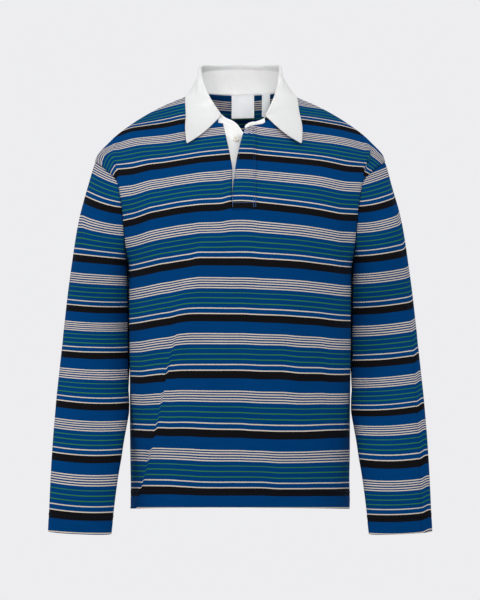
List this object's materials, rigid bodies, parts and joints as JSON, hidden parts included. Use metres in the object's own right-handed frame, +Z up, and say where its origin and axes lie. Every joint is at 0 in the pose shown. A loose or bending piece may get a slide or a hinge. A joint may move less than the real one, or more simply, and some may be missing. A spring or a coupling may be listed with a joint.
{
  "type": "long-sleeved rugby shirt",
  "caption": "Striped long-sleeved rugby shirt with a white folded collar and an open button placket, filled out as worn and hollow.",
  "frame": {"origin": "midway between the two shoulder points of the neck seam, where the shirt is held up on a wearer, a form or a hanger", "axes": "+Z up through the neck, the chest faces -Y, the wearer's left arm is on +X"},
  "size_m": [0.6124, 0.2754, 0.7691],
  "materials": {
    "striped_jersey": "heavy cotton jersey with horizontal stripes",
    "white_twill": "white cotton twill",
    "woven_label": "smooth woven tape",
    "button": "smooth"
  },
  "bodies": {
    "root": {"front_panel": "striped_jersey", "back_panel": "striped_jersey", "sleeve_right": "striped_jersey", "sleeve_left": "striped_jersey", "placket_upper": "striped_jersey", "placket_under": "white_twill", "neck_band": "white_twill", "collar": "white_twill", "label_main": "woven_label", "label_care": "woven_label", "button": "button"}
  },
  "joints": []
}
